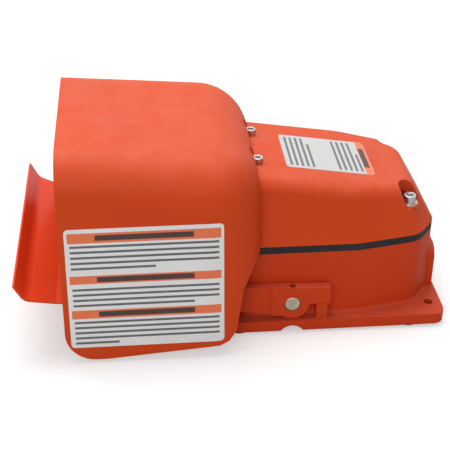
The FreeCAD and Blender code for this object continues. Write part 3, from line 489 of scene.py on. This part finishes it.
@dataclass(frozen=True)
class Casting:
    """A CAD node as one smooth skin with softened edges."""

    node: str
    piece: str
    material: str
    body: Body | None = Body.HOUSING
    edge: float = 0.0
    sharp: float = 32.0

    def build(self) -> bpy.types.Object:
        """Merge a copy of the node's triangles, soften its edges and smooth its curves.

        Returns:
            The dressed piece.
        """
        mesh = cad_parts[self.node].data.copy()
        work = bmesh.new()
        work.from_mesh(mesh)
        bmesh.ops.remove_doubles(work, verts=work.verts, dist=MERGE)
        bmesh.ops.dissolve_limit(work, angle_limit=FLAT, verts=work.verts, edges=work.edges)
        work.to_mesh(mesh)
        work.free()
        mesh.shade_smooth()
        mesh.set_sharp_from_angle(angle=math.radians(self.sharp))
        obj = new_object(self.piece, mesh)
        if self.edge:
            bevel = obj.modifiers.new("soft_edge", "BEVEL")
            bevel.width = self.edge * MM
            bevel.segments = 2
            bevel.limit_method = "ANGLE"
            bevel.angle_limit = math.radians(self.sharp)
            bevel.use_clamp_overlap = True
        even = obj.modifiers.new("even_normals", "WEIGHTED_NORMAL")
        even.keep_sharp = True
        plain_mesh(obj)
        return dress(obj, self.material, self.body, self.node)


@dataclass
class Wrap:
    """Lays flat work on a casting: rays run from a plane to the surface."""

    tree: BVHTree
    corner: Vector
    across: Vector
    up: Vector
    reach: float = 0.06

    @property
    def outward(self) -> Vector:
        """The plane's own normal, away from the casting."""
        return self.across.cross(self.up).normalized()

    def place(self, along: float, rise: float, lift: float) -> Vector:
        """Find the point above the surface that a point of the flat work comes to.

        Args:
            along: Distance along the plane's first axis.
            rise: Distance along its second axis.
            lift: Height above the surface.

        Returns:
            The point in space.
        """
        flat = self.corner + self.across * along + self.up * rise
        hit = self.tree.ray_cast(flat + self.outward * self.reach, -self.outward)[0]
        return (hit if hit is not None else flat) + self.outward * lift


def surface_tree(obj: bpy.types.Object) -> BVHTree:
    """A search tree over an object's own mesh."""
    mesh = obj.data
    places = [vert.co.copy() for vert in mesh.vertices]
    return BVHTree.FromPolygons(places, [tuple(face.vertices) for face in mesh.polygons])


# --------------------------------------------------------------------------- geometry node trees


def geometry_tree(name: str, inputs: dict[str, str]) -> tuple[Graph, dict, Callable[[object], None]]:
    """Start a Geometry Nodes tree with named inputs.

    Args:
        name: The tree's name.
        inputs: Socket type for each input.

    Returns:
        The graph, its input sockets by name, and a function that closes the tree on a geometry.
    """
    tree = bpy.data.node_groups.new(name, "GeometryNodeTree")
    for label, kind in {**inputs, "Finish": "NodeSocketMaterial"}.items():
        tree.interface.new_socket(name=label, in_out="INPUT", socket_type=kind)
    tree.interface.new_socket(name="Geometry", in_out="OUTPUT", socket_type="NodeSocketGeometry")
    graph = Graph(tree)
    entry = graph.add("NodeGroupInput")
    given = {label: entry.outputs[label] for label in inputs}

    def close(geometry: object) -> None:
        """Realize the instances, set the finish and leave."""
        real = graph.add("GeometryNodeRealizeInstances", {"Geometry": geometry}).outputs[0]
        painted = graph.add("GeometryNodeSetMaterial", {
            "Geometry": real, "Material": entry.outputs["Finish"]})
        graph.feed(graph.add("NodeGroupOutput").inputs[0], painted.outputs[0])

    return graph, given, close


def ruled_lines_tree() -> bpy.types.NodeTree:
    """Rows of thin bars, the last one short, in the plane of a sticker.

    Returns:
        The tree.
    """
    graph, given, close = geometry_tree("ruled_lines", {
        "Rows": "NodeSocketInt", "Start": "NodeSocketVector", "Step": "NodeSocketVector",
        "Bar": "NodeSocketVector", "Cuts": "NodeSocketInt", "Last": "NodeSocketFloat"})
    rows = graph.add("GeometryNodeMeshLine", {"Count": given["Rows"], "Start Location": given["Start"],
                                              "Offset": given["Step"]}).outputs[0]
    bar = graph.add("GeometryNodeMeshCube", {
        "Size": given["Bar"], "Vertices X": given["Cuts"]}).outputs["Mesh"]
    index = graph.add("GeometryNodeInputIndex").outputs[0]
    final = graph.math("COMPARE", index, graph.math("SUBTRACT", given["Rows"], 1.0), 0.1)
    length = graph.math("ADD", 1.0, graph.math("MULTIPLY", final, graph.math("SUBTRACT", given["Last"], 1.0)))
    size = graph.add("ShaderNodeCombineXYZ", {0: length, 1: 1.0, 2: 1.0}).outputs[0]
    width = graph.add("ShaderNodeSeparateXYZ", {0: given["Bar"]}).outputs[0]
    slip = graph.math("MULTIPLY", graph.math("MULTIPLY", graph.math("SUBTRACT", length, 1.0), width), 0.5)
    moved = graph.add("GeometryNodeSetPosition", {
        "Geometry": rows, "Offset": graph.add("ShaderNodeCombineXYZ", {0: slip}).outputs[0]}).outputs[0]
    placed = graph.add("GeometryNodeInstanceOnPoints", {"Points": moved, "Instance": bar, "Scale": size})
    close(placed.outputs[0])
    return graph.tree


def knurl_tree() -> bpy.types.NodeTree:
    """Rings of fine teeth round the heads of a row of cap screws.

    Returns:
        The tree.
    """
    graph, given, close = geometry_tree("knurled_heads", {
        "Teeth": "NodeSocketInt", "Radius": "NodeSocketFloat", "Tooth": "NodeSocketVector",
        "Start": "NodeSocketVector", "Step": "NodeSocketVector", "Screws": "NodeSocketInt"})
    ring = graph.add("GeometryNodeMeshCircle", {
        "Vertices": given["Teeth"], "Radius": given["Radius"]}).outputs[0]
    tooth = graph.add("GeometryNodeMeshCube", {"Size": given["Tooth"]}).outputs["Mesh"]
    index = graph.add("GeometryNodeInputIndex").outputs[0]
    turn = graph.math("DIVIDE", graph.math("MULTIPLY", index, math.tau), given["Teeth"])
    spin = graph.add("ShaderNodeCombineXYZ", {2: turn}).outputs[0]
    teeth = graph.add("GeometryNodeInstanceOnPoints", {"Points": ring, "Instance": tooth, "Rotation": spin})
    head = graph.add("GeometryNodeRealizeInstances", {"Geometry": teeth.outputs[0]}).outputs[0]
    row = graph.add("GeometryNodeMeshLine", {"Count": given["Screws"], "Start Location": given["Start"],
                                             "Offset": given["Step"]}).outputs[0]
    close(graph.add("GeometryNodeInstanceOnPoints", {"Points": row, "Instance": head}).outputs[0])
    return graph.tree


def grow(name: str, tree: bpy.types.NodeTree, values: dict[str, object]) -> bpy.types.Object:
    """Run a Geometry Nodes tree once and keep its result as a plain mesh.

    Args:
        name: The piece's name.
        tree: The tree.
        values: Value of each input, by its name.

    Returns:
        The new object.
    """
    obj = new_object(name, bpy.data.meshes.new(name))
    modifier = obj.modifiers.new("shape", "NODES")
    modifier.node_group = tree
    for item in tree.interface.items_tree:
        if item.item_type == "SOCKET" and item.in_out == "INPUT" and item.name in values:
            modifier[item.identifier] = values[item.name]
    return plain_mesh(obj)


# --------------------------------------------------------------------------- sub-assemblies


@dataclass
class Sticker:
    """A vinyl sticker with rounded corners, bands and ruled lines, laid on the casting."""

    name: str
    wrap: Wrap
    width: float
    height: float
    material: str
    blocks: tuple[tuple[int, float, float], ...]
    headings: tuple[float, ...]
    lines_up: bool = False
    radius: float = 0.003
    film: float = 0.00016
    rows: int = 30
    columns: int = 44
    pitch: float = 0.0043
    margin: float = 0.0035
    stroke: float = 0.0018
    heading: float = 0.0042
    heading_share: float = 0.66
    gap: float = 0.00004
    ink_lift: float = 0.00002
    ink: float = 0.00004
    line_cuts: int = 40
    heading_cuts: int = 24
    corner_steps: tuple[int, ...] = (0, 20, 40, 60, 75)
    crease: float = 50.0

    def extent(self, rise: float) -> tuple[float, float]:
        """Where the outline starts and ends along, at a height on the sheet."""
        near = min(rise, self.height - rise)
        if near >= self.radius:
            return 0.0, self.width
        cut = self.radius - math.sqrt(max(0.0, self.radius ** 2 - (self.radius - near) ** 2))
        return cut, self.width - cut

    def levels(self) -> list[float]:
        """Heights of the rows of the mesh, closer together in the round corners."""
        corner = [self.radius * (1.0 - math.cos(math.radians(step))) for step in self.corner_steps]
        straight = self.height - 2 * self.radius
        inner = [self.radius + straight * row / self.rows for row in range(self.rows + 1)]
        return corner + inner + [self.height - value for value in reversed(corner)]

    def sheet(self) -> bpy.types.Object:
        """Build the film as a closed slab that follows the casting."""
        levels = self.levels()
        work = bmesh.new()
        uv = work.loops.layers.uv.new("sticker")
        grids = []
        flat: dict[bmesh.types.BMVert, tuple[float, float]] = {}
        for lift in (self.gap, self.film):
            grid = []
            for rise in levels:
                start, end = self.extent(rise)
                line = []
                for column in range(self.columns + 1):
                    along = start + (end - start) * column / self.columns
                    vert = work.verts.new(self.wrap.place(along, rise, lift))
                    flat[vert] = (along / self.width, rise / self.height)
                    line.append(vert)
                grid.append(line)
            grids.append(grid)
        below, above = grids
        last = len(levels) - 1
        for i in range(last):
            for j in range(self.columns):
                work.faces.new((above[i][j], above[i][j + 1], above[i + 1][j + 1], above[i + 1][j]))
                work.faces.new((below[i][j], below[i + 1][j], below[i + 1][j + 1], below[i][j + 1]))
            work.faces.new((above[i][0], above[i + 1][0], below[i + 1][0], below[i][0]))
            end = self.columns
            work.faces.new((above[i][end], below[i][end], below[i + 1][end], above[i + 1][end]))
        for j in range(self.columns):
            work.faces.new((above[0][j], below[0][j], below[0][j + 1], above[0][j + 1]))
            work.faces.new((above[last][j], above[last][j + 1], below[last][j + 1], below[last][j]))
        for face in work.faces:
            for loop in face.loops:
                loop[uv].uv = flat[loop.vert]
        bmesh.ops.recalc_face_normals(work, faces=work.faces)
        mesh = bpy.data.meshes.new(self.name)
        work.to_mesh(mesh)
        work.free()
        mesh.shade_smooth()
        mesh.set_sharp_from_angle(angle=math.radians(self.crease))
        return dress(new_object(self.name, mesh), self.material, Body.HOUSING)

    def lay(self, obj: bpy.types.Object) -> bpy.types.Object:
        """Lay flat bars on the film."""
        for vert in obj.data.vertices:
            along, rise, lift = vert.co
            if self.lines_up:
                along, rise = rise, along
            vert.co = self.wrap.place(along, rise, self.film + lift)
        obj.data.update()
        return obj

    def ruled(self, tree: bpy.types.NodeTree) -> list[bpy.types.Object]:
        """Build the ruled lines and the thicker heading bars.

        Args:
            tree: The Geometry Nodes tree of the rows.

        Returns:
            The dressed pieces.
        """
        measure = self.height if self.lines_up else self.width
        length = measure - 2 * self.margin
        step = (0.0, self.pitch if self.lines_up else -self.pitch, 0.0)
        wanted = [(f"{self.name}_lines_{index}", "grey_ink", self.line_cuts, (length, self.stroke), *block)
                  for index, block in enumerate(self.blocks)]
        wanted += [(f"{self.name}_heading_{index}", "dark_ink", self.heading_cuts,
                    (length * self.heading_share, self.heading), 1, level, 1.0)
                   for index, level in enumerate(self.headings)]
        pieces = []
        for name, ink, cuts, bar, rows, first, last in wanted:
            piece = grow(name, tree, {
                "Rows": rows, "Start": (measure / 2, first, self.ink_lift), "Step": step,
                "Bar": (*bar, self.ink), "Cuts": cuts, "Last": last, "Finish": finish(ink)})
            self.lay(piece)
            if self.lines_up:
                piece.data.flip_normals()
            pieces.append(dress(piece, ink, Body.HOUSING))
        return pieces


@dataclass
class Housing:
    """The fixed castings with their gasket, screws and stickers."""

    screws_behind: tuple[float, float, float] = (91.5, 38.0, 91.7)
    screws_ahead: tuple[float, float, float] = (-23.5, 24.0, 122.5)
    label_low: tuple[float, float] = (-166.3, 13.8)
    label_high: tuple[float, float] = (-54.2, 109.8)
    top_label: tuple[float, float, float] = (-1.5, 66.5, 26.9)
    cover_tilt: float = 8.6
    cover_top: float = 119.5
    label_plane: float = -90.0
    rear_head: tuple[float, float] = (4.72, 6.35)
    front_head: tuple[float, float] = (3.92, 4.8)
    tooth: tuple[float, float] = (0.0003, 0.00022)
    teeth: int = 48
    knurl_share: float = 0.6
    knurl_middle: float = 0.45
    castings: tuple[Casting, ...] = (
        Casting("base_housing", "base_casting", "base_paint", edge=1.2),
        Casting("hood_cover", "hood_casting", "hood_paint", edge=1.4),
        Casting("cover_gasket", "gasket", "gasket_rubber", edge=1.2),
        Casting("rubber_feet", "feet", "foot_rubber", edge=0.4),
        Casting("rear_screw_washers", "rear_washers", "stainless", edge=0.15),
        Casting("rear_cover_screws", "rear_screws", "stainless", edge=0.3),
        Casting("front_cover_screws", "front_screws", "stainless", edge=0.25))

    def knurls(self, tree: bpy.types.NodeTree) -> None:
        """Set fine teeth round the cap screw heads."""
        for name, (reach, side, seat), (radius, head) in (
                ("rear_knurl", self.screws_behind, self.rear_head),
                ("front_knurl", self.screws_ahead, self.front_head)):
            level = (seat + head * self.knurl_middle) * MM
            ring = grow(name, tree, {
                "Teeth": self.teeth, "Radius": radius * MM,
                "Tooth": (*self.tooth, head * self.knurl_share * MM),
                "Start": (PIVOT + reach * MM, -side * MM, level), "Step": (0.0, 2 * side * MM, 0.0),
                "Screws": 2, "Finish": finish("stainless")})
            dress(ring, "stainless", Body.HOUSING)

    def stickers(self, hood: bpy.types.Object, tree: bpy.types.NodeTree) -> None:
        """Lay the two stickers on the hood and the cover.

        Args:
            hood: The hood casting.
            tree: The Geometry Nodes tree of the ruled lines.
        """
        skin = surface_tree(hood)
        low_x, low_z = self.label_low
        high_x, high_z = self.label_high
        corner = Vector((PIVOT + low_x * MM, self.label_plane * MM, low_z * MM))
        near = Wrap(skin, corner, Vector((1, 0, 0)), Vector((0, 0, 1)))
        side = Sticker("side_sticker", near, (high_x - low_x) * MM, (high_z - low_z) * MM, "side_vinyl",
                       blocks=((5, 0.0822, 0.57), (4, 0.0480, 0.83), (5, 0.0210, 0.30)),
                       headings=(0.0889, 0.0559, 0.0277))
        side.sheet()
        side.ruled(tree)
        start, end, half = self.top_label
        tilt = math.radians(self.cover_tilt)
        level = (self.cover_top - start * math.tan(tilt)) * MM
        slope = Vector((math.cos(tilt), 0, -math.sin(tilt)))
        top = Wrap(skin, Vector((PIVOT + start * MM, -half * MM, level)), slope, Vector((0, 1, 0)))
        plate = Sticker("cover_sticker", top, (end - start) / math.cos(tilt) * MM, 2 * half * MM, "top_vinyl",
                        blocks=((5, 0.0045, 0.8), (5, 0.0425, 0.6)), headings=(0.0648,), lines_up=True)
        plate.sheet()
        plate.ruled(tree)

    def build(self) -> None:
        """Build and dress everything that stands still."""
        built = {casting.piece: casting.build() for casting in self.castings}
        self.knurls(knurl_tree())
        self.stickers(built["hood_casting"], ruled_lines_tree())


@dataclass
class TreadleArm:
    """The swinging treadle with its shaft and sheet."""

    castings: tuple[Casting, ...] = (
        Casting("treadle", "treadle_casting", "treadle_paint", Body.TREADLE, 0.6),
        Casting("foot_plate", "foot_sheet", "plate_paint", Body.TREADLE, 0.3),
        Casting("plate_rivets", "sheet_rivets", "plate_paint", Body.TREADLE, 0.3),
        Casting("pivot_shaft", "shaft", "zinc_steel", Body.TREADLE, 0.2),
        Casting("shaft_set_screws", "arm_set_screws", "black_steel", Body.TREADLE, 0.2))

    def build(self) -> None:
        """Build and dress everything that swings."""
        for casting in self.castings:
            casting.build()


@dataclass
class SwitchRoom:
    """The works inside the box: bushes, lever, spring, the switch on its bracket and the ground screw."""

    still: dict[str, str] = field(default_factory=lambda: {
        "pivot_bushes": "bronze", "shaft_seals": "seal_rubber", "switch_case": "switch_plastic",
        "switch_bracket": "zinc_steel", "switch_screws": "zinc_steel", "switch_terminals": "brass",
        "bracket_screws": "zinc_steel", "ground_lug": "brass", "ground_screw": "green_screw"})
    edge: float = 0.15
    spring_foot: tuple[float, float, float] = (-19.0, -4.0, 8.0)
    spring_rise: float = 29.0

    def build(self) -> None:
        """Build the still pieces, the moving ones, and the spring, which bends between base and lever."""
        for node, material in self.still.items():
            Casting(node, f"{node}_piece", material, edge=self.edge).build()
        Casting("actuator_lever", "lever", "zinc_steel", Body.TREADLE, self.edge).build()
        Casting("lever_set_screw", "lever_screw", "black_steel", Body.TREADLE, self.edge).build()
        Casting("switch_plunger", "plunger_pin", "plunger_plastic", Body.PLUNGER, self.edge).build()
        spring = Casting("return_spring", "spring_coil", "spring_steel", None).build()
        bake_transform(spring)


# --------------------------------------------------------------------------- studio


@dataclass(frozen=True)
class Lamp:
    """A square soft lamp that looks at the object."""

    name: str
    place: tuple[float, float, float]
    size: float
    power: float
    aim: tuple[float, float, float] = (0.0, 0.0, 0.07)

    def build(self) -> None:
        """Hang the lamp and turn it."""
        data = bpy.data.lights.new(self.name, "AREA")
        data.size = self.size
        data.energy = self.power
        lamp = bpy.data.objects.new(self.name, data)
        lamp.location = self.place
        look = Vector(self.aim) - Vector(self.place)
        lamp.rotation_euler = look.to_track_quat("-Z", "Y").to_euler()
        bpy.context.scene.collection.objects.link(lamp)


@dataclass
class Studio:
    """White floor, soft light and the camera."""

    eye: tuple[float, float, float] = (-0.07134, -0.73099, 0.50007)
    yaw: float = 5.4546
    pitch: float = 31.1323
    roll: float = 0.5050
    focal: float = 1076.41
    centre: tuple[float, float] = (226.62, 222.58)
    frame_px: float = 450.0
    sensor: float = 36.0
    clip: float = 0.02
    sky: float = 0.36
    floor_tone: float = 0.60
    floor_step: float = 0.02
    floor_half: float = 6.0
    floor_glow: tuple[float, float] = (0.45, 0.95)
    glow_reach: tuple[float, float] = (0.35, 1.6)
    lamps: tuple[Lamp, ...] = (
        Lamp("overhead", (-0.15, 0.45, 1.5), 1.3, 24.0),
        Lamp("front_fill", (-0.5, -1.5, 0.9), 1.2, 10.0))

    def camera(self) -> None:
        """Place the camera as the photograph's perspective was fitted."""
        yaw, pitch, roll = (math.radians(angle) for angle in (self.yaw, self.pitch, self.roll))
        ahead = Vector((math.sin(yaw) * math.cos(pitch), math.cos(yaw) * math.cos(pitch), -math.sin(pitch)))
        level = Vector((math.cos(yaw), -math.sin(yaw), 0.0))
        above = level.cross(ahead)
        right = level * math.cos(roll) + above * math.sin(roll)
        top = -level * math.sin(roll) + above * math.cos(roll)
        data = bpy.data.cameras.new("camera")
        data.sensor_width = self.sensor
        data.lens = self.focal / self.frame_px * self.sensor
        data.shift_x = (self.frame_px / 2 - self.centre[0]) / self.frame_px
        data.shift_y = (self.centre[1] - self.frame_px / 2) / self.frame_px
        data.clip_start = self.clip
        camera = bpy.data.objects.new("camera", data)
        turn = Matrix((right, top, -ahead)).transposed().to_4x4()
        camera.matrix_world = Matrix.Translation(Vector(self.eye)) @ turn
        bpy.context.scene.collection.objects.link(camera)
        bpy.context.scene.camera = camera

    def world(self) -> None:
        """Plain sky: white where it is seen or mirrored, softer as light."""
        world = bpy.data.worlds.new("studio")
        bpy.context.scene.world = world
        world.use_nodes = True
        graph = Graph(world.node_tree)
        path = graph.add("ShaderNodeLightPath")
        seen = graph.math("MAXIMUM", path.outputs["Is Camera Ray"], path.outputs["Is Transmission Ray"])
        seen = graph.math("MAXIMUM", seen, path.outputs["Is Glossy Ray"])
        sky = world.node_tree.nodes["Background"]
        sky.inputs["Color"].default_value = (1.0, 1.0, 1.0, 1.0)
        graph.feed(sky.inputs["Strength"], graph.spread(seen, 0.0, 1.0, self.sky, 1.0))

    def floor(self) -> None:
        """White floor that keeps the shadow of the part."""
        work = bmesh.new()
        bmesh.ops.create_grid(work, x_segments=8, y_segments=8, size=self.floor_half)
        mesh = bpy.data.meshes.new("floor")
        work.to_mesh(mesh)
        work.free()
        floor = new_object("floor", mesh)
        material, graph, shader = start_material("white_floor")
        place = graph.add("ShaderNodeTexCoord").outputs["Object"]
        tone = graph.spread(graph.noise(place, 3.0), 0.3, 0.7)
        grey, paler = ((value,) * 3 for value in (self.floor_tone, self.floor_tone + self.floor_step))
        graph.feed(shader.inputs["Base Color"], graph.tint(tone, grey, paler))
        shader.inputs["Roughness"].default_value = 0.9
        shader.inputs["Specular IOR Level"].default_value = 0.0
        seen = graph.add("ShaderNodeLightPath").outputs["Is Camera Ray"]
        away = graph.add("ShaderNodeVectorMath", {0: place}, operation="LENGTH").outputs["Value"]
        glow = graph.spread(away, *self.glow_reach, *self.floor_glow)
        shader.inputs["Emission Color"].default_value = (1.0, 1.0, 1.0, 1.0)
        graph.feed(shader.inputs["Emission Strength"], graph.math("MULTIPLY", seen, glow))
        floor.data.materials.append(material)

    def build(self) -> None:
        """Build the studio."""
        scene = bpy.context.scene
        scene.view_settings.view_transform = "Standard"
        self.camera()
        self.world()
        self.floor()
        for lamp in self.lamps:
            lamp.build()


def main() -> None:
    """Build the part and its studio, in order."""
    logging.basicConfig(level=logging.INFO, format="%(message)s")
    Housing().build()
    TreadleArm().build()
    SwitchRoom().build()
    Studio().build()
    bpy.context.view_layer.update()


if __name__ == "__main__":
    main()
